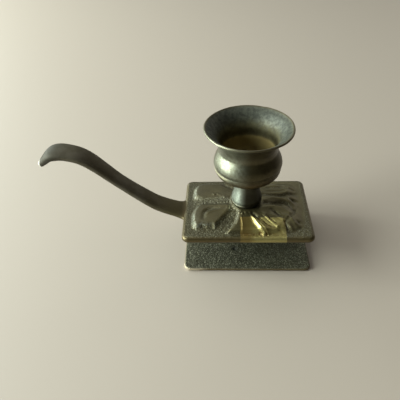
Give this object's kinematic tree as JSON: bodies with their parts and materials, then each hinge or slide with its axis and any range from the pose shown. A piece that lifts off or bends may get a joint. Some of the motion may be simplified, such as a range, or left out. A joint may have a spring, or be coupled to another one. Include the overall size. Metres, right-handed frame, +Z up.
{
  "type": "candlestick",
  "caption": "Small cast brass chamberstick: a flared candle cup on a leaf-relief tray with a curled handle, over a bottom plate that holds a matchbox.",
  "frame": {"origin": "middle of the bottom plate's underside, on the surface that the object stands on", "axes": "+Z up; -X towards the handle's tip; -Y is the open front where the matchbox slides in"},
  "size_m": [0.1171, 0.0406, 0.0616],
  "materials": {
    "plate_brass": "rough sand-cast brass with a dark grey-green patina and worn edges",
    "cast_brass": "sand-cast brass with a dark olive-brown patina, smooth on the raised leaves and pebbled on the ground, with one cleaned patch",
    "collar_brass": "turned brass, tarnished grey-green, satin",
    "turned_brass": "turned brass, tarnished olive, satin, bright along the worn lip",
    "screw_brass": "plain brass screw, dulled"
  },
  "bodies": {
    "root": {"bottom_plate": "plate_brass", "rear_spine": "plate_brass", "top_tray": "cast_brass", "stem_collar": "collar_brass", "candle_cup": "turned_brass", "centre_screw": "screw_brass", "clamp_screw_left": "screw_brass", "clamp_screw_right": "screw_brass"}
  },
  "joints": []
}
